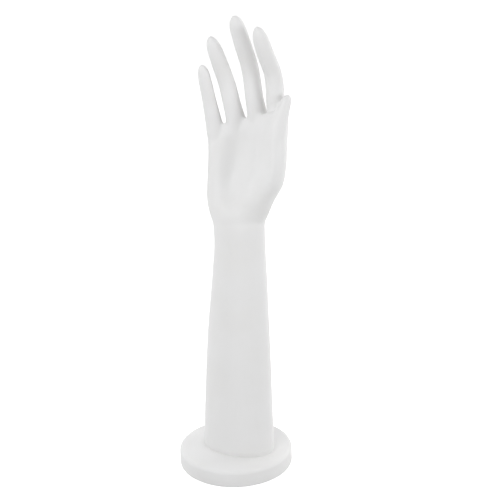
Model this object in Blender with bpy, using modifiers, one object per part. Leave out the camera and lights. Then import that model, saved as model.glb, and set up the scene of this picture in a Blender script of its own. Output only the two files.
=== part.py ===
"""Jewellery display stand: a slender right hand and forearm that rise from a round foot.

The whole stand is one moulding. The palm faces the front and a little to the left, the thumb lies
along its right edge, and the fingers bend gently forwards. Metres, +Z up, and the origin is the
centre of the foot's underside. The front is -Y.
"""

import math
from collections import namedtuple

import bmesh
import bpy
import numpy as np
from mathutils import Vector

MM = 0.001

# Round foot
FOOT_RADIUS = 50.0 * MM
FOOT_THICKNESS = 15.0 * MM
FOOT_TOP_ROUNDING = 3.2 * MM
FOOT_BOTTOM_ROUNDING = 1.4 * MM
FOOT_STEPS = 72
ROUNDING_STEPS = 4

# Forearm: an oval post that narrows to the wrist and leans a little to the right. Its root reaches
# down into the foot.
FOREARM_LENGTH = 207.0 * MM
FOREARM_TURN = math.radians(27)
FOREARM_ROOT = 8.0 * MM
FOREARM_ROOT_ROUNDING = 2.0 * MM

# Hand: turned about the upright and tilted back at the wrist
HAND_TURN = math.radians(25)
HAND_TILT = math.radians(12)

# How deep the wrist reaches up into the palm and each finger down into it, how much of their width
# and depth is left there, and how far a finger's root lies towards the back of the hand, under the
# hollow of the palm
WRIST_OVERLAP = 28.0 * MM
WRIST_END_SHARE = 0.96
FINGER_OVERLAP = 24.0 * MM
FINGER_ROOT_SHARE = 0.6
ROOT_SINK = 4.0 * MM
ROOT_DOME = 6.0 * MM

# How finely the limbs and the palm are drawn
LIMB_POINTS = 32
LINE_STEPS = 24
RING_SPACING = 2.0 * MM
DOME_RINGS = 7
OUTLINE_STEPS = 4
LEVEL_STEPS = 6

# How they are fused into one skin: its grid, how often it is softened, and its facets
SKIN_GRID = 1.2 * MM
SKIN_SMOOTHING_PASSES = 10
HAND_FACETS = 9600
SEAM_MERGE = 0.1 * MM

PLASTIC_WHITE = (0.82, 0.82, 0.82, 1.0)
PLASTIC_ROUGHNESS = 0.55

ArmSection = namedtuple("ArmSection", "share shift width depth")
PalmSection = namedtuple("PalmSection", "level slant outline")
Section = namedtuple("Section", "place width depth")
Finger = namedtuple("Finger", "knuckle bones bends splays widths depths tip_dome")

# The forearm from the foot to the wrist: share of its length, then millimetres
FOREARM = (
    ArmSection(0.00, 3.0, 66.0, 43.4),
    ArmSection(0.25, 4.1, 62.2, 42.8),
    ArmSection(0.50, 5.5, 57.4, 41.4),
    ArmSection(0.80, 8.1, 48.6, 37.8),
    ArmSection(0.93, 8.9, 45.4, 35.4),
    ArmSection(1.00, 8.8, 45.8, 34.6),
)

# The palm, in millimetres. Each outline is (across to the thumb side, out of the palm), from the
# little finger's edge over the palm and the thumb to its far edge, and back round the back of the
# hand. Level is the height above the wrist, and slant is how much higher the thumb side lies.
PALM = (
    PalmSection(-16.0, 0.00, (
        (-21.8, -3.4), (-19.2, 4.5), (-11.3, 10.7), (0.0, 13.1), (9.8, 11.3), (16.7, 7.2), (20.5, 2.2),
        (21.8, -3.4), (19.6, -10.7), (13.1, -16.6), (4.8, -19.5), (-4.8, -19.5), (-13.6, -16.3), (-19.9, -10.1),
    )),
    PalmSection(-6.0, 0.00, (
        (-22.5, -1.2), (-19.8, 6.9), (-11.7, 13.2), (0.0, 15.7), (10.1, 13.9), (17.2, 9.7), (21.2, 4.5),
        (22.5, -1.2), (20.2, -8.6), (13.5, -14.7), (5.0, -17.7), (-5.0, -17.7), (-14.0, -14.4), (-20.5, -8.1),
    )),
    PalmSection(1.0, 0.00, (
        (-23.2, 0.0), (-20.2, 8.6), (-11.8, 14.6), (0.0, 16.8), (9.8, 15.2), (16.6, 10.8), (20.6, 5.6),
        (21.6, 0.0), (19.8, -7.0), (13.3, -12.8), (5.0, -16.0), (-5.0, -16.0), (-14.2, -12.8), (-21.0, -6.6),
    )),
    PalmSection(7.0, 0.00, (
        (-26.2, 0.3), (-22.0, 9.2), (-13.4, 15.1), (-0.6, 17.8), (10.3, 16.0), (17.8, 11.3), (22.0, 5.8),
        (23.0, 0.0), (20.8, -7.0), (13.6, -12.7), (5.0, -15.6), (-5.3, -15.6), (-15.4, -12.4), (-23.0, -6.4),
    )),
    PalmSection(13.0, 0.00, (
        (-28.1, 0.5), (-24.0, 9.7), (-14.8, 15.0), (-1.2, 17.6), (10.6, 17.6), (19.8, 13.1), (24.9, 6.8),
        (25.8, 0.0), (22.5, -7.0), (14.2, -12.5), (5.0, -15.3), (-5.5, -15.3), (-16.7, -12.4), (-24.9, -6.2),
    )),
    PalmSection(24.0, 0.00, (
        (-29.5, 0.5), (-26.4, 10.2), (-17.0, 12.4), (-4.0, 11.2), (9.0, 17.2), (20.6, 18.8), (28.0, 12.0),
        (30.3, 3.0), (27.8, -5.0), (18.0, -11.4), (6.0, -14.4), (-6.5, -14.6), (-18.5, -12.0), (-26.8, -6.0),
    )),
    PalmSection(40.0, 0.00, (
        (-29.9, 0.5), (-27.0, 9.6), (-18.8, 10.4), (-6.6, 5.2), (8.0, 10.0), (23.0, 19.8), (33.8, 18.2),
        (38.8, 9.2), (37.0, -1.4), (25.0, -9.4), (9.0, -13.2), (-6.5, -13.6), (-19.0, -11.4), (-27.5, -5.6),
    )),
    PalmSection(56.0, 0.02, (
        (-30.2, 0.5), (-27.6, 9.2), (-19.4, 9.4), (-5.0, 3.4), (9.5, 6.4), (25.0, 16.6), (36.4, 20.0),
        (41.8, 11.5), (39.8, 1.0), (31.4, -8.0), (11.0, -12.8), (-6.0, -13.2), (-19.0, -11.2), (-27.8, -5.6),
    )),
    PalmSection(71.0, 0.12, (
        (-31.4, 1.0), (-28.6, 8.4), (-19.6, 8.6), (-4.0, 3.8), (10.5, 5.8), (23.8, 14.2), (34.4, 20.4),
        (41.2, 12.6), (40.0, 3.0), (34.0, -8.4), (13.0, -13.0), (-5.0, -13.0), (-18.5, -11.2), (-28.6, -5.6),
    )),
    PalmSection(82.0, 0.24, (
        (-33.0, 1.4), (-30.0, 6.8), (-19.5, 7.4), (-5.0, 5.4), (10.0, 6.6), (22.5, 13.0), (33.0, 18.8),
        (40.2, 12.0), (39.2, 3.0), (34.6, -7.2), (14.0, -11.6), (-4.5, -11.4), (-18.0, -9.6), (-29.4, -4.6),
    )),
    PalmSection(91.0, 0.30, (
        (-30.0, 2.0), (-27.5, 4.4), (-18.0, 5.0), (-4.0, 4.4), (9.5, 5.0), (21.5, 10.6), (32.0, 15.4),
        (36.6, 9.4), (35.0, 2.4), (30.4, -4.0), (13.0, -6.6), (-4.0, -6.4), (-16.0, -5.2), (-26.4, -1.8),
    )),
)

FINGERS = {
    "index": Finger(
        knuckle=(29.1, -1.5, 87.6),
        bones=(41.8, 25.1, 23.0),
        bends=(11.4, 35.8, 31.5),
        splays=(-5.0, -8.9, -8.9),
        widths=(17.4, 16.2, 15.4, 14.8, 12.0),
        depths=(18.4, 16.5, 14.5, 13.0, 10.5),
        tip_dome=13.0,
    ),
    "middle": Finger(
        knuckle=(10.2, -3.0, 88.7),
        bones=(44.3, 27.2, 23.2),
        bends=(10.2, 28.1, 29.0),
        splays=(-8.2, -9.1, -9.1),
        widths=(17.0, 15.4, 15.2, 15.0, 12.8),
        depths=(17.8, 16.5, 14.5, 13.0, 10.5),
        tip_dome=12.5,
    ),
    "ring": Finger(
        knuckle=(-7.4, -2.5, 82.5),
        bones=(38.6, 24.5, 20.3),
        bends=(14.9, 27.4, 27.8),
        splays=(-12.0, -12.3, -12.3),
        widths=(16.8, 15.4, 14.9, 14.1, 11.6),
        depths=(18.0, 16.0, 13.8, 12.2, 9.8),
        tip_dome=12.5,
    ),
    "little": Finger(
        knuckle=(-24.6, 1.0, 73.5),
        bones=(30.3, 16.5, 17.4),
        bends=(14.6, 18.7, 19.1),
        splays=(-9.4, -7.8, -7.4),
        widths=(16.0, 14.3, 12.6, 11.8, 10.0),
        depths=(16.4, 14.6, 12.0, 10.4, 8.6),
        tip_dome=9.5,
    ),
}

# The thumb, in millimetres of the hand: width is its size out of the palm, depth is across it
THUMB = (
    Section((33.0, 10.5, 62.0), 16.0, 14.0),
    Section((33.3, 11.5, 79.0), 17.0, 15.8),
    Section((34.4, 11.5, 92.0), 16.0, 16.2),
    Section((37.0, 11.0, 100.0), 14.0, 12.0),
    Section((39.3, 10.4, 107.5), 11.4, 9.0),
    Section((41.4, 9.8, 115.0), 8.8, 6.6),
)
THUMB_TIP_DOME = 5.0


def clear_scene():
    for item in list(bpy.data.objects):
        bpy.data.objects.remove(item, do_unlink=True)


def new_collection(name):
    collection = bpy.data.collections.new(name)
    bpy.context.scene.collection.children.link(collection)
    return collection


def hand_axes():
    """The directions across the palm, out of it and along it to the fingertips."""
    up = Vector((0, 0, 1))
    across = Vector((math.cos(HAND_TURN), -math.sin(HAND_TURN), 0))
    level = Vector((-math.sin(HAND_TURN), -math.cos(HAND_TURN), 0))
    out = math.cos(HAND_TILT) * level + math.sin(HAND_TILT) * up
    along = math.cos(HAND_TILT) * up - math.sin(HAND_TILT) * level
    return across, out, along


def wrist_centre():
    return Vector((FOREARM[-1].shift * MM, 0, FOOT_THICKNESS + FOREARM_LENGTH))


def in_hand(across_mm, out_mm, along_mm):
    """Turns a place of the hand, in millimetres, into the stand's own frame."""
    across, out, along = hand_axes()
    return wrist_centre() + MM * (across_mm * across + out_mm * out + along_mm * along)


def smooth_curve(rows, steps, closed=False):
    """Rows along a smooth curve through the given rows, with so many steps from each to the next."""
    rows = np.array(rows, float)
    spans = len(rows) if closed else len(rows) - 1
    first = 0
    if closed:
        rows = np.concatenate((rows[-2:], rows, rows[:3]))
        first = 2
    lengths = np.linalg.norm(np.diff(rows[:, :3], axis=0), axis=1)
    slopes = np.gradient(rows, np.concatenate(([0], np.cumsum(lengths))), axis=0)
    curve = []
    for i in range(first, first + spans):
        for step in range(steps):
            t = step / steps
            start = (2 * t**3 - 3 * t**2 + 1) * rows[i] + (t**3 - 2 * t**2 + t) * lengths[i] * slopes[i]
            end = (3 * t**2 - 2 * t**3) * rows[i + 1] + (t**3 - t**2) * lengths[i] * slopes[i + 1]
            curve.append(start + end)
    if not closed:
        curve.append(rows[-1])
    return np.array(curve)


def loft(rings):
    """A closed mesh through rings that have the same number of points."""
    mesh = bmesh.new()
    loops = [[mesh.verts.new(point) for point in ring] for ring in rings]
    for below, above in zip(loops, loops[1:]):
        for i in range(len(below)):
            j = (i + 1) % len(below)
            mesh.faces.new((below[i], below[j], above[j], above[i]))
    mesh.faces.new(loops[0])
    mesh.faces.new(loops[-1])
    bmesh.ops.recalc_face_normals(mesh, faces=mesh.faces)
    data = bpy.data.meshes.new("loft")
    mesh.to_mesh(data)
    mesh.free()
    return data


def ring_places(length, start_dome, end_dome):
    """Distances along a limb for its rings, with how much each is drawn in where the ends are domed."""
    turns = [math.pi / 2 * i / DOME_RINGS for i in range(1, DOME_RINGS + 1)]
    start = [(start_dome * (1 - math.cos(turn)), math.sin(turn)) for turn in turns]
    end = [(length - end_dome * (1 - math.cos(turn)), math.sin(turn)) for turn in reversed(turns)]
    middle = length - start_dome - end_dome
    count = max(1, round(middle / RING_SPACING))
    return start + [(start_dome + middle * i / count, 1.0) for i in range(1, count)] + end


def limb(rows, side, start_dome, end_dome):
    """A closed mesh of oval rings swept along a smooth line of place, width and depth, with domed ends."""
    curve = smooth_curve(rows, LINE_STEPS)
    steps = np.linalg.norm(np.diff(curve[:, :3], axis=0), axis=1)
    reach = np.concatenate(([0], np.cumsum(steps)))
    ahead_of = np.gradient(curve[:, :3], axis=0)
    rings = []
    for distance, drawn_in in ring_places(reach[-1], start_dome, end_dome):
        x, y, z, width, depth = (np.interp(distance, reach, column) for column in curve.T)
        ahead = Vector([np.interp(distance, reach, column) for column in ahead_of.T]).normalized()
        across = (side - side.dot(ahead) * ahead).normalized()
        front = ahead.cross(across)
        ring = []
        for i in range(LIMB_POINTS):
            turn = 2 * math.pi * i / LIMB_POINTS
            sideways = across * (width / 2 * drawn_in * math.cos(turn))
            forwards = front * (depth / 2 * drawn_in * math.sin(turn))
            ring.append(Vector((x, y, z)) + sideways + forwards)
        rings.append(ring)
    return loft(rings)


def forearm():
    """The forearm, from inside the foot to inside the palm."""
    side = Vector((math.cos(FOREARM_TURN), -math.sin(FOREARM_TURN), 0))
    root = FOREARM[0]
    wrist = FOREARM[-1]
    rows = [(root.shift * MM, 0, FOOT_THICKNESS - FOREARM_ROOT, root.width * MM, root.depth * MM)]
    for section in FOREARM:
        z = FOOT_THICKNESS + FOREARM_LENGTH * section.share
        rows.append((section.shift * MM, 0, z, section.width * MM, section.depth * MM))
    top = wrist_centre() + WRIST_OVERLAP * hand_axes()[2]
    rows.append((*top, wrist.width * WRIST_END_SHARE * MM, wrist.depth * WRIST_END_SHARE * MM))
    return limb(rows, side, FOREARM_ROOT_ROUNDING, WRIST_OVERLAP)


def palm():
    """The palm, lofted through its outlines from the wrist to the roots of the fingers."""
    outlines = []
    for section in PALM:
        points = [
            in_hand(across, out, section.level + section.slant * across)
            for across, out in section.outline
        ]
        outlines.append(smooth_curve(points, OUTLINE_STEPS, closed=True))
    lines = [smooth_curve(line, LEVEL_STEPS) for line in zip(*outlines)]
    return loft([[Vector(point) for point in ring] for ring in zip(*lines)])


def pointing(bend, splay):
    """The direction of a bone that is bent out of the palm and splayed towards the thumb, in degrees."""
    across, out, along = hand_axes()
    bend = math.radians(bend)
    splay = math.radians(splay)
    flat = math.cos(splay) * along + math.sin(splay) * across
    return math.cos(bend) * flat + math.sin(bend) * out


def finger_limb(finger):
    """One finger from inside the palm to its tip, bent at its knuckle and two joints."""
    out = hand_axes()[1]
    sizes = [(width * MM, depth * MM) for width, depth in zip(finger.widths, finger.depths)]
    knuckle = in_hand(*finger.knuckle)
    root = knuckle - FINGER_OVERLAP * (knuckle - wrist_centre()).normalized() - ROOT_SINK * out
    root_size = [size * FINGER_ROOT_SHARE for size in sizes[0]]
    places = [knuckle]
    for bone, bend, splay in zip(finger.bones, finger.bends, finger.splays):
        places.append(places[-1] + bone * MM * pointing(bend, splay))
    places.insert(1, (places[0] + places[1]) / 2)
    rows = [(*root, *root_size)]
    rows += [(*place, *size) for place, size in zip(places, sizes)]
    side = pointing(0, finger.splays[0]).cross(out)
    return limb(rows, side, ROOT_DOME, finger.tip_dome * MM)


def thumb_limb():
    rows = [(*in_hand(*section.place), section.width * MM, section.depth * MM) for section in THUMB]
    return limb(rows, hand_axes()[1], ROOT_DOME, THUMB_TIP_DOME * MM)


def joined(name, meshes, collection):
    """One object that holds all the meshes, which are removed."""
    form = bmesh.new()
    for data in meshes:
        form.from_mesh(data)
        bpy.data.meshes.remove(data)
    data = bpy.data.meshes.new(name)
    form.to_mesh(data)
    form.free()
    item = bpy.data.objects.new(name, data)
    collection.objects.link(item)
    return item


def fuse(item, grid, passes):
    """Fuses the overlapping limbs into one skin and softens the joins."""
    remesh = item.modifiers.new("Fuse", "REMESH")
    remesh.mode = "VOXEL"
    remesh.voxel_size = grid
    remesh.use_smooth_shade = True
    smooth = item.modifiers.new("Soften", "SMOOTH")
    smooth.factor = 0.5
    smooth.iterations = passes


def facet_count(item):
    depsgraph = bpy.context.evaluated_depsgraph_get()
    mesh = item.evaluated_get(depsgraph).to_mesh()
    mesh.calc_loop_triangles()
    return len(mesh.loop_triangles)


def foot_profile():
    """Outline of the foot from the middle of its top, round its edge, to the middle of its underside."""
    points = [(0, FOOT_THICKNESS)]
    for i in range(ROUNDING_STEPS + 1):
        turn = math.pi / 2 * i / ROUNDING_STEPS
        x = FOOT_RADIUS - FOOT_TOP_ROUNDING * (1 - math.sin(turn))
        points.append((x, FOOT_THICKNESS - FOOT_TOP_ROUNDING * (1 - math.cos(turn))))
    for i in range(ROUNDING_STEPS + 1):
        turn = math.pi / 2 * i / ROUNDING_STEPS
        x = FOOT_RADIUS - FOOT_BOTTOM_ROUNDING * (1 - math.cos(turn))
        points.append((x, FOOT_BOTTOM_ROUNDING * (1 - math.sin(turn))))
    points.append((0, 0))
    return points


def make_foot(collection):
    """The round foot, turned from its profile."""
    points = foot_profile()
    data = bpy.data.meshes.new("foot")
    data.from_pydata([(x, 0, z) for x, z in points], [(i, i + 1) for i in range(len(points) - 1)], [])
    foot = bpy.data.objects.new("foot", data)
    collection.objects.link(foot)
    screw = foot.modifiers.new("Turn", "SCREW")
    screw.steps = FOOT_STEPS
    screw.render_steps = FOOT_STEPS
    screw.use_merge_vertices = True
    screw.merge_threshold = SEAM_MERGE
    foot.hide_render = True
    foot.display_type = "WIRE"
    return foot


def white_plastic():
    material = bpy.data.materials.new("white_plastic")
    material.use_nodes = True
    shader = material.node_tree.nodes["Principled BSDF"]
    shader.inputs["Base Color"].default_value = PLASTIC_WHITE
    shader.inputs["Roughness"].default_value = PLASTIC_ROUGHNESS
    shader.inputs["Metallic"].default_value = 0.0
    return material


def make_stand(collection, cutters):
    """The whole stand as one solid."""
    limbs = [forearm(), palm(), thumb_limb()]
    limbs += [finger_limb(finger) for finger in FINGERS.values()]
    stand = joined("hand_stand", limbs, collection)
    stand.data.materials.append(white_plastic())
    fuse(stand, SKIN_GRID, SKIN_SMOOTHING_PASSES)
    thin = stand.modifiers.new("Fewer facets", "DECIMATE")
    thin.ratio = HAND_FACETS / facet_count(stand)
    union = stand.modifiers.new("Foot", "BOOLEAN")
    union.operation = "UNION"
    union.solver = "EXACT"
    union.object = make_foot(cutters)
    return stand


def main():
    clear_scene()
    collection = new_collection("hand_jewellery_stand")
    cutters = new_collection("cutters")
    make_stand(collection, cutters)


if __name__ == "__main__":
    main()
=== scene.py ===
"""Hand jewellery stand, dressed for rendering: a slender white right hand that rises from a round foot.

The stand is one moulding of matte white plastic. The forearm, palm, thumb and fingers are drawn as
rounded limbs and a palm through its outlines, and fused into one skin. The foot is turned. Metres, +Z
up. The palm faces -Y and a little to the left, and the thumb lies along its right edge.
"""

import math
from collections import namedtuple

import bmesh
import bpy
import numpy as np
from mathutils import Matrix, Vector


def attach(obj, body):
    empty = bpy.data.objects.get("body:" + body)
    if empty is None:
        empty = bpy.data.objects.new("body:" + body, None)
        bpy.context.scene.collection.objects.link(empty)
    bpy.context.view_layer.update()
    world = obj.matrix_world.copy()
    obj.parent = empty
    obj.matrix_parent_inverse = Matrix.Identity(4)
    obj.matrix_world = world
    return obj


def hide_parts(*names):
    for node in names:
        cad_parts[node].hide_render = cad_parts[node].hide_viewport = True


bl_info = {
    "name": "Hand jewellery stand",
    "version": (1, 0, 0),
    "blender": (4, 5, 0),
    "location": "3D View > Sidebar > Hand stand",
    "description": "Makes a moulded white display hand on a round foot, and the studio that it stands in",
    "category": "Object",
}

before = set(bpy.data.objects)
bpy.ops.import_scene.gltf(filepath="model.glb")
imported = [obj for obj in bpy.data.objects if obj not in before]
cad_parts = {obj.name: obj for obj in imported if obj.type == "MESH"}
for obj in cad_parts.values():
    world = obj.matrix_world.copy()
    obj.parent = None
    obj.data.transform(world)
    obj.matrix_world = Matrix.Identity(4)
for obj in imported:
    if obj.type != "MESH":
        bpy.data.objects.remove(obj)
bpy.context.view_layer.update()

MM = 0.001

# How deep the forearm reaches down into the foot, and how round that end is
FOREARM_ROOT = 8.0 * MM
FOREARM_ROOT_ROUNDING = 2.0 * MM

# How deep the forearm reaches up into the palm and each finger down into it, and what share of their
# width and depth is left there
WRIST_OVERLAP = 28.0 * MM
WRIST_END_SHARE = 0.96
FINGER_OVERLAP = 24.0 * MM
FINGER_ROOT_SHARE = 0.6

# How far a finger's root lies towards the back of the hand, under the hollow of the palm, and over
# what length the roots of the fingers and the thumb are domed
ROOT_SINK = 4.0 * MM
ROOT_DOME = 6.0 * MM

# How finely the limbs, the palm, the foot and the floor are drawn
LIMB_POINTS = 48
LINE_STEPS = 24
RING_SPACING = 1.2 * MM
OUTLINE_STEPS = 5
LEVEL_STEPS = 8
FOOT_STEPS = 160
ROUNDING_STEPS = 8
FLOOR_SEGMENTS = 96
FLOOR_RADIUS = 12.0

# How near to each other the points of a seam are merged, and how far in from its roundings each flat
# face of the foot gets a ring of points, so that the shading of the rounding ends there
SEAM_MERGE = 0.01 * MM
FLAT_MARGIN = 1.0 * MM

# How strongly one pass softens the skin, and how sharp a fold is that stays crisp
SMOOTHING_STRENGTH = 0.5
CREASE_ANGLE = math.radians(38)

# The mould's grain and the cloudy patches on the plastic: how many finer layers each has, and how
# strong the grain's finer layers are
GRAIN_LAYERS = 3
GRAIN_LAYER_STRENGTH = 0.6
PATCH_LAYERS = 4

# The patches go from 0 to 1: between which of their values the plastic turns to handled plastic, and
# how far, and between which values it gets duller, and by how much to either side
HANDLED_PATCHES = (0.45, 0.75)
HANDLED_MOST = 0.6
DULLED_PATCHES = (0.3, 0.7)
DULLED_CHANGE = 0.05

# How open to the air a crease is where the painted shade begins and where it is full, and with how many
# rays that is measured
PAINTED_SHADE_OPENNESS = (0.85, 0.35)
PAINTED_SHADE_SAMPLES = 16

# The floor's paper
PAPER_ROUGHNESS = 0.9

ArmSection = namedtuple("ArmSection", "share shift width depth")
PalmSection = namedtuple("PalmSection", "level slant outline")
Section = namedtuple("Section", "place width depth")
Finger = namedtuple("Finger", "knuckle bones bends splays widths depths tip_dome")
Lamp = namedtuple("Lamp", "name place target width height power")

# The forearm from the foot to the wrist: share of its length, then millimetres
FOREARM = (
    ArmSection(0.00, 3.0, 66.0, 43.4),
    ArmSection(0.25, 4.1, 62.2, 42.8),
    ArmSection(0.50, 5.5, 57.4, 41.4),
    ArmSection(0.80, 8.1, 48.6, 37.8),
    ArmSection(0.93, 8.9, 45.4, 35.4),
    ArmSection(1.00, 8.8, 45.8, 34.6),
)

# The wrist's outline, in millimetres, and half its width and depth. Its points run as the palm's do.
WRIST_OUTLINE = (
    (-19.4, 0.0), (-17.0, 6.5), (-10.0, 11.6), (0.0, 13.6), (8.7, 12.2), (14.8, 8.8), (18.2, 4.6),
    (19.2, 0.0), (17.4, -6.0), (11.7, -11.0), (4.4, -13.6), (-4.4, -13.6), (-12.2, -10.8), (-17.8, -5.6),
)
WRIST_HALF_WIDTH = 19.3
WRIST_HALF_DEPTH = 13.6


def wrist_oval(half_width, half_depth, shift):
    """The wrist's outline laid onto an oval that is shifted out of the palm, in millimetres."""
    outline = []
    for across, out in WRIST_OUTLINE:
        wide, deep = across / WRIST_HALF_WIDTH, out / WRIST_HALF_DEPTH
        reach = math.hypot(wide, deep)
        outline.append((
            round(wide / reach * half_width, 1),
            round(deep / reach * half_depth + shift, 1),
        ))
    return tuple(outline)


# The palm, in millimetres. Each outline is (across to the thumb side, out of the palm), from the
# little finger's edge over the palm and the thumb to its far edge, and back round the back of the
# hand. Level is the height above the wrist, and slant is how much higher the thumb side lies.
PALM = (
    PalmSection(-16.0, 0.00, wrist_oval(21.8, 16.5, -3.4)),
    PalmSection(-6.0, 0.00, wrist_oval(22.5, 16.9, -1.2)),
    PalmSection(1.0, 0.00, (
        (-23.2, 0.0), (-20.2, 8.6), (-11.8, 14.6), (0.0, 16.8), (9.8, 15.2), (16.6, 10.8), (20.6, 5.6),
        (21.6, 0.0), (19.8, -7.0), (13.3, -12.8), (5.0, -16.0), (-5.0, -16.0), (-14.2, -12.8), (-21.0, -6.6),
    )),
    PalmSection(7.0, 0.00, (
        (-26.2, 0.3), (-22.0, 9.2), (-13.4, 15.1), (-0.6, 17.8), (10.3, 16.0), (17.8, 11.3), (22.0, 5.8),
        (23.0, 0.0), (20.8, -7.0), (13.6, -12.7), (5.0, -15.6), (-5.3, -15.6), (-15.4, -12.4), (-23.0, -6.4),
    )),
    PalmSection(13.0, 0.00, (
        (-28.1, 0.5), (-24.0, 9.7), (-14.8, 15.0), (-1.2, 17.6), (10.6, 17.6), (19.8, 13.1), (24.9, 6.8),
        (25.8, 0.0), (22.5, -7.0), (14.2, -12.5), (5.0, -15.3), (-5.5, -15.3), (-16.7, -12.4), (-24.9, -6.2),
    )),
    PalmSection(24.0, 0.00, (
        (-29.5, 0.5), (-26.4, 10.2), (-17.0, 12.4), (-4.0, 11.2), (9.0, 17.2), (20.6, 18.8), (28.0, 12.0),
        (30.3, 3.0), (27.8, -5.0), (18.0, -11.4), (6.0, -14.4), (-6.5, -14.6), (-18.5, -12.0), (-26.8, -6.0),
    )),
    PalmSection(40.0, 0.00, (
        (-29.9, 0.5), (-27.0, 9.6), (-18.8, 10.4), (-6.6, 5.2), (8.0, 10.0), (23.0, 19.8), (33.8, 18.2),
        (38.8, 9.2), (37.0, -1.4), (25.0, -9.4), (9.0, -13.2), (-6.5, -13.6), (-19.0, -11.4), (-27.5, -5.6),
    )),
    PalmSection(56.0, 0.02, (
        (-30.2, 0.5), (-27.6, 9.2), (-19.4, 9.4), (-5.0, 3.4), (9.5, 6.4), (25.0, 16.6), (36.4, 20.0),
        (41.8, 11.5), (39.8, 1.0), (31.4, -8.0), (11.0, -12.8), (-6.0, -13.2), (-19.0, -11.2), (-27.8, -5.6),
    )),
    PalmSection(71.0, 0.12, (
        (-31.4, 1.0), (-28.6, 8.4), (-19.6, 8.6), (-4.0, 3.8), (10.5, 5.8), (23.8, 14.2), (34.4, 20.4),
        (41.2, 12.6), (40.0, 3.0), (34.0, -8.4), (13.0, -13.0), (-5.0, -13.0), (-18.5, -11.2), (-28.6, -5.6),
    )),
    PalmSection(82.0, 0.24, (
        (-33.0, 1.4), (-30.0, 6.8), (-19.5, 7.4), (-5.0, 5.4), (10.0, 6.6), (22.5, 13.0), (33.0, 18.8),
        (40.2, 12.0), (39.2, 3.0), (34.6, -7.2), (14.0, -11.6), (-4.5, -11.4), (-18.0, -9.6), (-29.4, -4.6),
    )),
    PalmSection(91.0, 0.30, (
        (-30.0, 2.0), (-27.5, 4.4), (-18.0, 5.0), (-4.0, 4.4), (9.5, 5.0), (21.5, 10.6), (32.0, 15.4),
        (36.6, 9.4), (35.0, 2.4), (30.4, -4.0), (13.0, -6.6), (-4.0, -6.4), (-16.0, -5.2), (-26.4, -1.8),
    )),
)

FINGERS = {
    "index": Finger(
        knuckle=(29.1, -1.5, 87.6),
        bones=(41.8, 25.1, 23.0),
        bends=(11.4, 35.8, 31.5),
        splays=(-5.0, -8.9, -8.9),
        widths=(17.4, 16.2, 15.4, 14.8, 12.0),
        depths=(18.4, 16.5, 14.5, 13.0, 10.5),
        tip_dome=13.0,
    ),
    "middle": Finger(
        knuckle=(10.2, -3.0, 88.7),
        bones=(44.3, 27.2, 23.2),
        bends=(10.2, 28.1, 29.0),
        splays=(-8.2, -9.1, -9.1),
        widths=(17.0, 15.4, 15.2, 15.0, 12.8),
        depths=(17.8, 16.5, 14.5, 13.0, 10.5),
        tip_dome=12.5,
    ),
    "ring": Finger(
        knuckle=(-7.4, -2.5, 82.5),
        bones=(38.6, 24.5, 20.3),
        bends=(14.9, 27.4, 27.8),
        splays=(-12.0, -12.3, -12.3),
        widths=(16.8, 15.4, 14.9, 14.1, 11.6),
        depths=(18.0, 16.0, 13.8, 12.2, 9.8),
        tip_dome=12.5,
    ),
    "little": Finger(
        knuckle=(-24.6, 1.0, 73.5),
        bones=(30.3, 16.5, 17.4),
        bends=(14.6, 18.7, 19.1),
        splays=(-9.4, -7.8, -7.4),
        widths=(16.0, 14.3, 12.6, 11.8, 10.0),
        depths=(16.4, 14.6, 12.0, 10.4, 8.6),
        tip_dome=9.5,
    ),
}

# The thumb, in millimetres of the hand: width is its size out of the palm, depth is across it
THUMB = (
    Section((33.0, 10.5, 62.0), 16.0, 14.0),
    Section((33.3, 11.5, 79.0), 17.0, 15.8),
    Section((34.4, 11.5, 92.0), 16.0, 16.2),
    Section((37.0, 11.0, 100.0), 14.0, 12.0),
    Section((39.3, 10.4, 107.5), 11.4, 9.0),
    Section((41.4, 9.8, 115.0), 8.8, 6.6),
)
THUMB_TIP_DOME = 5.0

# Soft boxes round the stand: places and sizes in metres, power in watts
LAMPS = (
    Lamp("left_box", (-1.1, -0.35, 0.65), (0, 0, 0.34), 1.0, 0.7, 2.8),
    Lamp("right_box", (1.05, -0.7, 0.5), (0, 0, 0.34), 0.4, 0.5, 3.8),
    Lamp("near_box", (-0.4, -0.74, 0.75), (0, 0, 0.34), 0.7, 0.3, 2.9),
    Lamp("high_box", (-0.1, -0.75, 1.55), (0, 0, 0.3), 1.5, 1.2, 2.8),
    Lamp("left_rim", (-0.9, 0.8, 0.6), (0, 0, 0.3), 1.0, 0.8, 2.8),
    Lamp("right_rim", (1.0, 0.5, 0.6), (0, 0, 0.3), 1.0, 0.8, 5.1),
    Lamp("back_box", (0.0, 0.75, 0.95), (0, 0, 0.36), 1.0, 0.5, 2.4),
)


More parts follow.
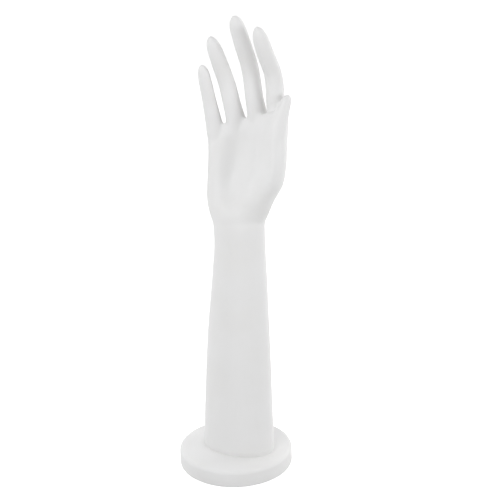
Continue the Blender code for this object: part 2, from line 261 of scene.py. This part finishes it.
class StandSizes(bpy.types.PropertyGroup):
    """Sizes of the foot, the forearm and the hand's pose, and of the grid that fuses them"""

    foot_radius: bpy.props.FloatProperty(
        name="Foot radius", description="Radius of the round foot",
        default=50 * MM, min=20 * MM, subtype="DISTANCE", unit="LENGTH")
    foot_thickness: bpy.props.FloatProperty(
        name="Foot thickness", description="Height of the foot's flat top above the table",
        default=15 * MM, min=4 * MM, subtype="DISTANCE", unit="LENGTH")
    foot_top_rounding: bpy.props.FloatProperty(
        name="Top rounding", description="Radius of the foot's upper edge",
        default=3.2 * MM, subtype="DISTANCE", unit="LENGTH")
    foot_bottom_rounding: bpy.props.FloatProperty(
        name="Bottom rounding", description="Radius of the foot's lower edge",
        default=1.4 * MM, subtype="DISTANCE", unit="LENGTH")
    forearm_length: bpy.props.FloatProperty(
        name="Forearm length", description="From the foot's top to the middle of the wrist",
        default=207 * MM, subtype="DISTANCE", unit="LENGTH")
    forearm_turn: bpy.props.FloatProperty(
        name="Forearm turn", description="How far the forearm's wide side is turned from the front",
        default=math.radians(27), subtype="ANGLE", unit="ROTATION")
    hand_turn: bpy.props.FloatProperty(
        name="Hand turn", description="How far the palm is turned from the front",
        default=math.radians(25), subtype="ANGLE", unit="ROTATION")
    hand_tilt: bpy.props.FloatProperty(
        name="Hand tilt", description="How far the hand leans back at the wrist",
        default=math.radians(12), subtype="ANGLE", unit="ROTATION")
    skin_grid: bpy.props.FloatProperty(
        name="Skin grid", description="Grid on which the limbs are fused into one skin",
        default=1.0 * MM, min=0.6 * MM, subtype="DISTANCE", unit="LENGTH")
    skin_smoothing: bpy.props.IntProperty(
        name="Skin smoothing", description="How often the fused skin is softened",
        default=18, min=0)


class PlasticFinish(bpy.types.PropertyGroup):
    """Colours, painted shade, gloss and grain of the white plastic"""

    colour: bpy.props.FloatVectorProperty(
        name="Plastic", description="Colour of the moulded plastic",
        size=4, default=(0.82, 0.82, 0.82, 1), min=0, max=1, subtype="COLOR")
    rubbed_colour: bpy.props.FloatVectorProperty(
        name="Handled plastic", description="Colour where the plastic has been handled and yellowed a little",
        size=4, default=(0.79, 0.786, 0.774, 1), min=0, max=1, subtype="COLOR")
    # Painted shade: the grey that darkens the webs and creases where they are closed in
    painted_shade_colour: bpy.props.FloatVectorProperty(
        name="Painted shade", description="Colour of the fine dust that stays in the webs and creases",
        size=4, default=(0.75, 0.747, 0.74, 1), min=0, max=1, subtype="COLOR")
    # How wide a crease is that still gets the painted shade
    painted_shade_reach: bpy.props.FloatProperty(
        name="Painted shade reach", description="How wide a crease is that still gathers dust",
        default=7 * MM, min=0.5 * MM, subtype="DISTANCE", unit="LENGTH")
    roughness: bpy.props.FloatProperty(
        name="Roughness", description="How dull the plastic is",
        default=0.55, min=0, max=1, subtype="FACTOR")
    grain: bpy.props.FloatProperty(
        name="Grain", description="Size of the fine grain that the mould leaves",
        default=0.45 * MM, subtype="DISTANCE", unit="LENGTH")
    grain_depth: bpy.props.FloatProperty(
        name="Grain depth", description="Depth of the fine grain",
        default=0.03 * MM, subtype="DISTANCE", unit="LENGTH")


class Studio(bpy.types.PropertyGroup):
    """The camera, the even light of the room and the floor"""

    camera_place: bpy.props.FloatVectorProperty(
        name="Camera place", description="Where the camera stands",
        default=(0, -1.10809, 0.62514), subtype="XYZ", unit="LENGTH")
    camera_pitch: bpy.props.FloatProperty(
        name="Camera pitch", description="How far the camera looks down",
        default=math.radians(20.955), subtype="ANGLE", unit="ROTATION")
    camera_yaw: bpy.props.FloatProperty(
        name="Camera yaw", description="How far the camera is turned to the right",
        default=math.radians(0.9003), subtype="ANGLE", unit="ROTATION")
    camera_roll: bpy.props.FloatProperty(
        name="Camera roll", description="How far the camera is turned about its own line of sight",
        default=math.radians(1.56), subtype="ANGLE", unit="ROTATION")
    camera_lens: bpy.props.FloatProperty(
        name="Focal length", description="Focal length of the camera's lens",
        default=100.8, subtype="DISTANCE_CAMERA", unit="CAMERA")
    room_light: bpy.props.FloatProperty(
        name="Room light", description="Strength of the even light from all round",
        default=0.35, min=0)
    floor_colour: bpy.props.FloatVectorProperty(
        name="Floor", description="Colour of the paper that the stand is on",
        size=4, default=(0.7, 0.7, 0.7, 1), min=0, max=1, subtype="COLOR")
    floor_glow: bpy.props.FloatProperty(
        name="Floor whitening", description="White added to the floor where the camera sees it",
        default=0.85, min=0)


def sizes():
    """The sizes that the panel shows."""
    return bpy.context.scene.stand_sizes


def hand_axes():
    """The directions across the palm, out of it and along it to the fingertips."""
    turn = sizes().hand_turn
    tilt = sizes().hand_tilt
    up = Vector((0, 0, 1))
    across = Vector((math.cos(turn), -math.sin(turn), 0))
    level = Vector((-math.sin(turn), -math.cos(turn), 0))
    out = math.cos(tilt) * level + math.sin(tilt) * up
    along = math.cos(tilt) * up - math.sin(tilt) * level
    return across, out, along


def wrist_centre():
    """The middle of the wrist, from which the hand's own places are counted."""
    return Vector((FOREARM[-1].shift * MM, 0, sizes().foot_thickness + sizes().forearm_length))


def in_hand(across_mm, out_mm, along_mm):
    """Turns a place of the hand, in millimetres, into the stand's own frame."""
    across, out, along = hand_axes()
    return wrist_centre() + MM * (across_mm * across + out_mm * out + along_mm * along)


def smooth_curve(rows, steps, closed=False):
    """Rows along a smooth curve through the given rows, with so many steps from each to the next."""
    rows = np.array(rows, float)
    spans = len(rows) if closed else len(rows) - 1
    first = 0
    if closed:
        rows = np.concatenate((rows[-2:], rows, rows[:3]))
        first = 2
    lengths = np.linalg.norm(np.diff(rows[:, :3], axis=0), axis=1)
    slopes = np.gradient(rows, np.concatenate(([0], np.cumsum(lengths))), axis=0)
    curve = []
    for i in range(first, first + spans):
        for step in range(steps):
            # A cubic that leaves one row and meets the next along the slopes there
            t = step / steps
            start = (2 * t**3 - 3 * t**2 + 1) * rows[i] + (t**3 - 2 * t**2 + t) * lengths[i] * slopes[i]
            end = (3 * t**2 - 2 * t**3) * rows[i + 1] + (t**3 - t**2) * lengths[i] * slopes[i + 1]
            curve.append(start + end)
    if not closed:
        curve.append(rows[-1])
    return np.array(curve)


def loft(rings):
    """A closed mesh through rings that have the same number of points."""
    mesh = bmesh.new()
    loops = [[mesh.verts.new(point) for point in ring] for ring in rings]
    for below, above in zip(loops, loops[1:]):
        for i in range(len(below)):
            j = (i + 1) % len(below)
            mesh.faces.new((below[i], below[j], above[j], above[i]))
    mesh.faces.new(loops[0])
    mesh.faces.new(loops[-1])
    bmesh.ops.recalc_face_normals(mesh, faces=mesh.faces)
    data = bpy.data.meshes.new("loft")
    mesh.to_mesh(data)
    mesh.free()
    return data


def add_node(tree, kind, inputs=(), **settings):
    """Adds a node, with its settings, and links or sets its inputs in their order."""
    node = tree.nodes.new(kind)
    for name, value in settings.items():
        setattr(node, name, value)
    for socket, value in zip([socket for socket in node.inputs if socket.enabled], inputs):
        if isinstance(value, bpy.types.NodeSocket):
            tree.links.new(value, socket)
        elif value is not None:
            socket.default_value = value
    return node


def calculate(tree, operation, *values):
    """The result of a calculation with one, two or three numbers."""
    return add_node(tree, "ShaderNodeMath", values, operation=operation).outputs["Value"]


def vectors(tree, operation, *values):
    """The vector that comes out of a calculation with vectors."""
    return add_node(tree, "ShaderNodeVectorMath", values, operation=operation).outputs["Vector"]


def scaled(tree, vector, factor):
    """A vector made longer or shorter by a factor."""
    node = add_node(tree, "ShaderNodeVectorMath", operation="SCALE")
    tree.links.new(vector, node.inputs["Vector"])
    tree.links.new(factor, node.inputs["Scale"])
    return node.outputs["Vector"]


def sampled(tree, line, distance, attribute):
    """The node that reads a line at a distance along it: its place, its direction and an attribute."""
    value = add_node(tree, "GeometryNodeInputNamedAttribute", (attribute,), data_type="FLOAT")
    sample = add_node(tree, "GeometryNodeSampleCurve", mode="LENGTH", data_type="FLOAT")
    tree.links.new(line, sample.inputs["Curves"])
    tree.links.new(value.outputs["Attribute"], sample.inputs["Value"])
    tree.links.new(distance, sample.inputs["Length"])
    return sample


def dome_share(tree, distance, dome):
    """How much of its full size a ring has at a distance from the limb's end, which is domed."""
    missing = calculate(tree, "SUBTRACT", 1, calculate(tree, "DIVIDE", distance, dome))
    inside = calculate(tree, "MAXIMUM", missing, 0)
    left = calculate(tree, "SUBTRACT", 1, calculate(tree, "MULTIPLY", inside, inside))
    return calculate(tree, "SQRT", calculate(tree, "MAXIMUM", left, 0))


def limb_tree(material):
    """Geometry nodes that sweep oval rings along a line and close both of its ends with domes."""
    tree = bpy.data.node_groups.new("Limb", "GeometryNodeTree")
    tree.is_modifier = True
    sockets = (
        ("Line", "NodeSocketGeometry"), ("Side", "NodeSocketVector"),
        ("Start dome", "NodeSocketFloat"), ("End dome", "NodeSocketFloat"),
        ("Ring spacing", "NodeSocketFloat"), ("Points round", "NodeSocketInt"),
    )
    for name, kind in sockets:
        tree.interface.new_socket(name, in_out="INPUT", socket_type=kind)
    tree.interface.new_socket("Limb", in_out="OUTPUT", socket_type="NodeSocketGeometry")
    given = tree.nodes.new("NodeGroupInput").outputs
    line = add_node(tree, "GeometryNodeMeshToCurve", (given["Line"],)).outputs["Curve"]
    length = add_node(tree, "GeometryNodeCurveLength", (line,)).outputs["Length"]
    rings = calculate(tree, "ADD", calculate(tree, "DIVIDE", length, given["Ring spacing"]), 1)
    points = calculate(tree, "ADD", given["Points round"], 1)
    grid = add_node(tree, "GeometryNodeMeshGrid", (1, 1, rings, points)).outputs["Mesh"]
    place = add_node(tree, "ShaderNodeSeparateXYZ", (tree.nodes.new("GeometryNodeInputPosition").outputs[0],))
    # The grid's X runs along the limb, with its rings closer together near the ends, and its Y runs round
    half_turn = calculate(tree, "MULTIPLY", calculate(tree, "ADD", place.outputs["X"], 0.5), math.pi)
    share = calculate(tree, "MULTIPLY_ADD", calculate(tree, "COSINE", half_turn), -0.5, 0.5)
    distance = calculate(tree, "MULTIPLY", share, length)
    turn = calculate(tree, "MULTIPLY", place.outputs["Y"], 2 * math.pi)
    wide = sampled(tree, line, distance, "width")
    deep = sampled(tree, line, distance, "depth")
    ahead = wide.outputs["Tangent"]
    across = vectors(tree, "NORMALIZE", vectors(tree, "SUBTRACT", given["Side"],
                                                vectors(tree, "PROJECT", given["Side"], ahead)))
    front = vectors(tree, "CROSS_PRODUCT", ahead, across)
    drawn_in = calculate(tree, "MULTIPLY", dome_share(tree, distance, given["Start dome"]),
                         dome_share(tree, calculate(tree, "SUBTRACT", length, distance), given["End dome"]))
    half = calculate(tree, "MULTIPLY", drawn_in, 0.5)
    sideways = calculate(tree, "MULTIPLY", calculate(tree, "MULTIPLY", wide.outputs["Value"], half),
                         calculate(tree, "COSINE", turn))
    forwards = calculate(tree, "MULTIPLY", calculate(tree, "MULTIPLY", deep.outputs["Value"], half),
                         calculate(tree, "SINE", turn))
    offset = vectors(tree, "ADD", scaled(tree, across, sideways), scaled(tree, front, forwards))
    moved = add_node(tree, "GeometryNodeSetPosition")
    tree.links.new(grid, moved.inputs["Geometry"])
    tree.links.new(vectors(tree, "ADD", wide.outputs["Position"], offset), moved.inputs["Position"])
    closed = add_node(tree, "GeometryNodeMergeByDistance")
    closed.inputs["Distance"].default_value = SEAM_MERGE
    tree.links.new(moved.outputs["Geometry"], closed.inputs["Geometry"])
    real = add_node(tree, "GeometryNodeRealizeInstances", (closed.outputs["Geometry"],))
    painted = add_node(tree, "GeometryNodeSetMaterial")
    painted.inputs["Material"].default_value = material
    tree.links.new(real.outputs["Geometry"], painted.inputs["Geometry"])
    tree.links.new(painted.outputs["Geometry"], tree.nodes.new("NodeGroupOutput").inputs["Limb"])
    return tree


def set_inputs(modifier, values):
    """Sets a Geometry Nodes modifier's inputs, which are kept under their sockets' identifiers."""
    for socket in modifier.node_group.interface.items_tree:
        if socket.name in values:
            modifier[socket.identifier] = values[socket.name]


def limb(tree, rows, side, start_dome, end_dome):
    """A closed mesh of oval rings swept along a smooth line of place, width and depth."""
    curve = smooth_curve(rows, LINE_STEPS)
    data = bpy.data.meshes.new("limb")
    data.from_pydata(curve[:, :3].tolist(), [(i, i + 1) for i in range(len(curve) - 1)], [])
    for name, column in (("width", 3), ("depth", 4)):
        data.attributes.new(name, "FLOAT", "POINT").data.foreach_set("value", curve[:, column].tolist())
    item = bpy.data.objects.new("limb", data)
    bpy.context.scene.collection.objects.link(item)
    modifier = item.modifiers.new("Limb", "NODES")
    modifier.node_group = tree
    set_inputs(modifier, {
        "Side": side, "Start dome": start_dome, "End dome": end_dome,
        "Ring spacing": RING_SPACING, "Points round": LIMB_POINTS,
    })
    baked(item)
    swept = item.data
    bpy.data.objects.remove(item)
    return swept


def forearm(tree):
    """The forearm, from inside the foot to inside the palm."""
    turn = sizes().forearm_turn
    foot_top = sizes().foot_thickness
    side = Vector((math.cos(turn), -math.sin(turn), 0))
    root = FOREARM[0]
    wrist = FOREARM[-1]
    rows = [(root.shift * MM, 0, foot_top - FOREARM_ROOT, root.width * MM, root.depth * MM)]
    for section in FOREARM:
        z = foot_top + sizes().forearm_length * section.share
        rows.append((section.shift * MM, 0, z, section.width * MM, section.depth * MM))
    top = wrist_centre() + WRIST_OVERLAP * hand_axes()[2]
    rows.append((*top, wrist.width * WRIST_END_SHARE * MM, wrist.depth * WRIST_END_SHARE * MM))
    return limb(tree, rows, side, FOREARM_ROOT_ROUNDING, WRIST_OVERLAP)


def palm():
    """The palm, lofted through its outlines from the wrist to the roots of the fingers."""
    outlines = []
    for section in PALM:
        points = [
            in_hand(across, out, section.level + section.slant * across)
            for across, out in section.outline
        ]
        outlines.append(smooth_curve(points, OUTLINE_STEPS, closed=True))
    lines = [smooth_curve(line, LEVEL_STEPS) for line in zip(*outlines)]
    return loft([[Vector(point) for point in ring] for ring in zip(*lines)])


def pointing(bend, splay):
    """The direction of a bone that is bent out of the palm and splayed towards the thumb, in degrees."""
    across, out, along = hand_axes()
    bend = math.radians(bend)
    splay = math.radians(splay)
    flat = math.cos(splay) * along + math.sin(splay) * across
    return math.cos(bend) * flat + math.sin(bend) * out


def finger_limb(tree, finger):
    """One finger from inside the palm to its tip, bent at its knuckle and two joints."""
    out = hand_axes()[1]
    ring_sizes = [(width * MM, depth * MM) for width, depth in zip(finger.widths, finger.depths)]
    knuckle = in_hand(*finger.knuckle)
    root = knuckle - FINGER_OVERLAP * (knuckle - wrist_centre()).normalized() - ROOT_SINK * out
    root_size = [size * FINGER_ROOT_SHARE for size in ring_sizes[0]]
    places = [knuckle]
    for bone, bend, splay in zip(finger.bones, finger.bends, finger.splays):
        places.append(places[-1] + bone * MM * pointing(bend, splay))
    places.insert(1, (places[0] + places[1]) / 2)
    rows = [(*root, *root_size)]
    rows += [(*place, *size) for place, size in zip(places, ring_sizes)]
    side = pointing(0, finger.splays[0]).cross(out)
    return limb(tree, rows, side, ROOT_DOME, finger.tip_dome * MM)


def thumb_limb(tree):
    """The thumb, from inside the palm's edge to its tip."""
    rows = [(*in_hand(*section.place), section.width * MM, section.depth * MM) for section in THUMB]
    return limb(tree, rows, hand_axes()[1], ROOT_DOME, THUMB_TIP_DOME * MM)


def foot_profile():
    """Outline of the foot from the middle of its top, round its edge, to the middle of its underside."""
    foot = sizes()
    rim = foot.foot_radius - foot.foot_top_rounding
    points = [(0, foot.foot_thickness), (rim - FLAT_MARGIN, foot.foot_thickness)]
    for i in range(ROUNDING_STEPS + 1):
        turn = math.pi / 2 * i / ROUNDING_STEPS
        x = foot.foot_radius - foot.foot_top_rounding * (1 - math.sin(turn))
        points.append((x, foot.foot_thickness - foot.foot_top_rounding * (1 - math.cos(turn))))
    for i in range(ROUNDING_STEPS + 1):
        turn = math.pi / 2 * i / ROUNDING_STEPS
        x = foot.foot_radius - foot.foot_bottom_rounding * (1 - math.cos(turn))
        points.append((x, foot.foot_bottom_rounding * (1 - math.sin(turn))))
    points.append((foot.foot_radius - foot.foot_bottom_rounding - FLAT_MARGIN, 0))
    points.append((0, 0))
    return points


def foot_disc():
    """The round foot, turned from its profile."""
    form = bmesh.new()
    verts = [form.verts.new((x, 0, z)) for x, z in foot_profile()]
    edges = [form.edges.new(pair) for pair in zip(verts, verts[1:])]
    bmesh.ops.spin(form, geom=verts + edges, axis=(0, 0, 1), cent=(0, 0, 0), angle=2 * math.pi,
                   steps=FOOT_STEPS, use_merge=True)
    bmesh.ops.remove_doubles(form, verts=form.verts, dist=SEAM_MERGE)
    bmesh.ops.recalc_face_normals(form, faces=form.faces)
    data = bpy.data.meshes.new("foot")
    form.to_mesh(data)
    form.free()
    return data


def joined(name, meshes):
    """One object that holds all the meshes, which are removed."""
    form = bmesh.new()
    for data in meshes:
        form.from_mesh(data)
        bpy.data.meshes.remove(data)
    data = bpy.data.meshes.new(name)
    form.to_mesh(data)
    form.free()
    item = bpy.data.objects.new(name, data)
    bpy.context.scene.collection.objects.link(item)
    return item


def baked(item):
    """Turns the object's modifiers into its own mesh."""
    depsgraph = bpy.context.evaluated_depsgraph_get()
    data = bpy.data.meshes.new_from_object(item.evaluated_get(depsgraph))
    item.modifiers.clear()
    item.data = data
    return item


def fuse(item):
    """Fuses the overlapping forms into one skin and softens the joins."""
    remesh = item.modifiers.new("Fuse", "REMESH")
    remesh.mode = "VOXEL"
    remesh.voxel_size = sizes().skin_grid
    remesh.use_smooth_shade = True
    smooth = item.modifiers.new("Soften", "SMOOTH")
    smooth.factor = SMOOTHING_STRENGTH
    smooth.iterations = sizes().skin_smoothing
    return baked(item)


def stood_on(item, foot_data):
    """Unites the fused skin with the foot that it stands on, and keeps the line between them crisp."""
    foot = bpy.data.objects.new("foot", foot_data)
    bpy.context.scene.collection.objects.link(foot)
    union = item.modifiers.new("Foot", "BOOLEAN")
    union.operation = "UNION"
    union.solver = "EXACT"
    union.object = foot
    baked(item)
    bpy.data.objects.remove(foot)
    form = bmesh.new()
    form.from_mesh(item.data)
    for face in form.faces:
        face.smooth = True
    for edge in form.edges:
        edge.smooth = edge.calc_face_angle(0) < CREASE_ANGLE
    form.to_mesh(item.data)
    form.free()
    return item


def new_group(name, inputs, outputs):
    """A shader node group, with the sockets that come into it and those that go out of it."""
    group = bpy.data.node_groups.new(name, "ShaderNodeTree")
    for label, value in inputs:
        group.interface.new_socket(label, in_out="INPUT", socket_type="NodeSocketFloat").default_value = value
    for label in outputs:
        group.interface.new_socket(label, in_out="OUTPUT", socket_type="NodeSocketFloat")
    return group, group.nodes.new("NodeGroupInput").outputs, group.nodes.new("NodeGroupOutput").inputs


def mould_grain_group():
    """Fine grain that the mould leaves, as a height, and soft cloudy patches, as a mask."""
    group, given, out = new_group(
        "Mould grain", (("Grains per metre", 2000.0), ("Patches per metre", 24.0)), ("Height", "Patches"))
    place = add_node(group, "ShaderNodeTexCoord").outputs["Object"]
    grain = add_node(
        group, "ShaderNodeTexNoise", (place, given["Grains per metre"], GRAIN_LAYERS, GRAIN_LAYER_STRENGTH))
    patches = add_node(group, "ShaderNodeTexNoise", (place, given["Patches per metre"], PATCH_LAYERS))
    group.links.new(grain.outputs["Fac"], out["Height"])
    group.links.new(patches.outputs["Fac"], out["Patches"])
    return group


def painted_shade_group():
    """A mask of the creases and webs that are narrower than a reach, where shade is painted."""
    group, given, out = new_group("Painted shade", (("Reach", 7 * MM),), ("Mask",))
    shade = add_node(group, "ShaderNodeAmbientOcclusion", samples=PAINTED_SHADE_SAMPLES, only_local=True)
    group.links.new(given["Reach"], shade.inputs["Distance"])
    mask = add_node(group, "ShaderNodeMapRange", (shade.outputs["AO"], *PAINTED_SHADE_OPENNESS, 0, 1))
    group.links.new(mask.outputs["Result"], out["Mask"])
    return group


def white_plastic():
    """Matte white moulded plastic: fine grain, faint cloudy handling, and painted shade in the creases."""
    finish = bpy.context.scene.plastic_finish
    material = bpy.data.materials.new("white_plastic")
    material.use_nodes = True
    tree = material.node_tree
    shader = tree.nodes["Principled BSDF"]
    grain = add_node(tree, "ShaderNodeGroup", node_tree=mould_grain_group())
    grain.inputs["Grains per metre"].default_value = 1 / finish.grain
    painted_shade_node = add_node(tree, "ShaderNodeGroup", node_tree=painted_shade_group())
    painted_shade_node.inputs["Reach"].default_value = finish.painted_shade_reach
    patches = grain.outputs["Patches"]
    handled_range = (patches, *HANDLED_PATCHES, 0, HANDLED_MOST)
    handled = add_node(tree, "ShaderNodeMapRange", handled_range).outputs["Result"]
    colour = add_node(tree, "ShaderNodeMix", (handled, finish.colour, finish.rubbed_colour), data_type="RGBA")
    # Painted shade: the plastic's colour is darkened towards the shade colour in the closed-in creases and
    # webs
    painted_shade_mix = add_node(tree, "ShaderNodeMix", data_type="RGBA")
    painted_shade_mix.inputs["B"].default_value = finish.painted_shade_colour
    dullness = (finish.roughness - DULLED_CHANGE, finish.roughness + DULLED_CHANGE)
    dulled_range = (patches, *DULLED_PATCHES, *dullness)
    roughness = add_node(tree, "ShaderNodeMapRange", dulled_range).outputs["Result"]
    bump = add_node(tree, "ShaderNodeBump")
    bump.inputs["Distance"].default_value = finish.grain_depth
    for start, end in (
        (painted_shade_node.outputs["Mask"], painted_shade_mix.inputs["Factor"]),
        (colour.outputs["Result"], painted_shade_mix.inputs["A"]),
        (painted_shade_mix.outputs["Result"], shader.inputs["Base Color"]),
        (roughness, shader.inputs["Roughness"]),
        (grain.outputs["Height"], bump.inputs["Height"]),
        (bump.outputs["Normal"], shader.inputs["Normal"]),
    ):
        tree.links.new(start, end)
    return material


def add_lamp(lamp):
    """A soft box that is turned to its target."""
    data = bpy.data.lights.new(lamp.name, "AREA")
    data.shape = "RECTANGLE"
    data.size = lamp.width
    data.size_y = lamp.height
    data.energy = lamp.power
    item = bpy.data.objects.new(lamp.name, data)
    item.location = lamp.place
    item.rotation_euler = (Vector(lamp.target) - item.location).to_track_quat("-Z", "Y").to_euler()
    bpy.context.scene.collection.objects.link(item)


def seen_directly(tree):
    """A value that is 1 for rays from the camera and for those that gloss or glass sends on."""
    path = add_node(tree, "ShaderNodeLightPath").outputs
    either = calculate(tree, "MAXIMUM", path["Is Camera Ray"], path["Is Glossy Ray"])
    return calculate(tree, "MAXIMUM", either, path["Is Transmission Ray"])


def white_room(strength):
    """A world that is white to the camera and lights the stand evenly."""
    world = bpy.data.worlds.new("white_room")
    world.use_nodes = True
    tree = world.node_tree
    light = tree.nodes["Background"]
    light.inputs["Color"].default_value = (1, 1, 1, 1)
    light.inputs["Strength"].default_value = strength
    backdrop = add_node(tree, "ShaderNodeBackground", ((1, 1, 1, 1), 1))
    parts = (seen_directly(tree), light.outputs["Background"], backdrop.outputs["Background"])
    choice = add_node(tree, "ShaderNodeMixShader", parts)
    tree.links.new(choice.outputs["Shader"], tree.nodes["World Output"].inputs["Surface"])
    return world


def pale_floor(studio):
    """Pale paper that is whitened where the camera sees it and still keeps the stand's shadow."""
    material = bpy.data.materials.new("pale_floor")
    material.use_nodes = True
    tree = material.node_tree
    shader = tree.nodes["Principled BSDF"]
    shader.inputs["Base Color"].default_value = studio.floor_colour
    shader.inputs["Roughness"].default_value = PAPER_ROUGHNESS
    shader.inputs["Specular IOR Level"].default_value = 0
    white = add_node(tree, "ShaderNodeEmission")
    glow = calculate(tree, "MULTIPLY", seen_directly(tree), studio.floor_glow)
    tree.links.new(glow, white.inputs["Strength"])
    both = add_node(tree, "ShaderNodeAddShader", (shader.outputs["BSDF"], white.outputs["Emission"]))
    tree.links.new(both.outputs["Shader"], tree.nodes["Material Output"].inputs["Surface"])
    return material


def add_floor(studio):
    """A wide round floor under the stand."""
    form = bmesh.new()
    bmesh.ops.create_circle(form, cap_ends=True, segments=FLOOR_SEGMENTS, radius=FLOOR_RADIUS)
    data = bpy.data.meshes.new("floor")
    form.to_mesh(data)
    form.free()
    data.materials.append(pale_floor(studio))
    floor = bpy.data.objects.new("floor", data)
    bpy.context.scene.collection.objects.link(floor)


def add_camera(studio):
    """The camera that looks down at the stand from the front."""
    pitch, yaw, roll = studio.camera_pitch, studio.camera_yaw, studio.camera_roll
    forward = Vector((math.sin(yaw) * math.cos(pitch), math.cos(yaw) * math.cos(pitch), -math.sin(pitch)))
    level = forward.cross(Vector((0, 0, 1))).normalized()
    upright = level.cross(forward)
    right = math.cos(roll) * level - math.sin(roll) * upright
    up = math.sin(roll) * level + math.cos(roll) * upright
    data = bpy.data.cameras.new("camera")
    data.lens = studio.camera_lens
    camera = bpy.data.objects.new("camera", data)
    turn = Matrix((right, up, -forward)).transposed().to_4x4()
    camera.matrix_world = Matrix.Translation(studio.camera_place) @ turn
    bpy.context.scene.collection.objects.link(camera)
    bpy.context.scene.camera = camera


class HANDSTAND_OT_moulding(bpy.types.Operator):
    """Makes the hand, forearm and foot as one white moulding"""

    bl_idname = "hand_stand.moulding"
    bl_label = "Hand, forearm and foot"

    def execute(self, context):
        plastic = white_plastic()
        tree = limb_tree(plastic)
        forms = [forearm(tree), palm(), thumb_limb(tree)]
        forms += [finger_limb(tree, finger) for finger in FINGERS.values()]
        stand = stood_on(fuse(joined("hand_stand_moulding", forms)), foot_disc())
        stand.data.materials.clear()
        stand.data.materials.append(plastic)
        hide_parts("hand_stand")
        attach(stand, "root")
        return {"FINISHED"}


class HANDSTAND_OT_studio(bpy.types.Operator):
    """Makes the floor, the soft boxes, the white room and the camera"""

    bl_idname = "hand_stand.studio"
    bl_label = "Studio"

    def execute(self, context):
        studio = context.scene.hand_studio
        add_floor(studio)
        for lamp in LAMPS:
            add_lamp(lamp)
        context.scene.world = white_room(studio.room_light)
        context.scene.view_settings.view_transform = "Standard"
        add_camera(studio)
        return {"FINISHED"}


class HANDSTAND_PT_panel(bpy.types.Panel):
    """Lists the sizes, the finish, the studio and the operators in the 3D view's sidebar"""

    bl_idname = "HANDSTAND_PT_panel"
    bl_label = "Hand stand"
    bl_space_type = "VIEW_3D"
    bl_region_type = "UI"
    bl_category = "Hand stand"

    def draw(self, context):
        layout = self.layout
        for group in (context.scene.stand_sizes, context.scene.plastic_finish, context.scene.hand_studio):
            column = layout.column()
            for name in group.__annotations__:
                column.prop(group, name)
        for operator in (HANDSTAND_OT_moulding, HANDSTAND_OT_studio):
            layout.operator(operator.bl_idname)


CLASSES = (
    StandSizes, PlasticFinish, Studio,
    HANDSTAND_OT_moulding, HANDSTAND_OT_studio, HANDSTAND_PT_panel,
)


def register():
    for item in CLASSES:
        bpy.utils.register_class(item)
    bpy.types.Scene.stand_sizes = bpy.props.PointerProperty(type=StandSizes)
    bpy.types.Scene.plastic_finish = bpy.props.PointerProperty(type=PlasticFinish)
    bpy.types.Scene.hand_studio = bpy.props.PointerProperty(type=Studio)


def unregister():
    for name in ("stand_sizes", "plastic_finish", "hand_studio"):
        delattr(bpy.types.Scene, name)
    for item in reversed(CLASSES):
        bpy.utils.unregister_class(item)


def main():
    register()
    bpy.ops.hand_stand.moulding()
    bpy.ops.hand_stand.studio()


if __name__ == "__main__":
    main()
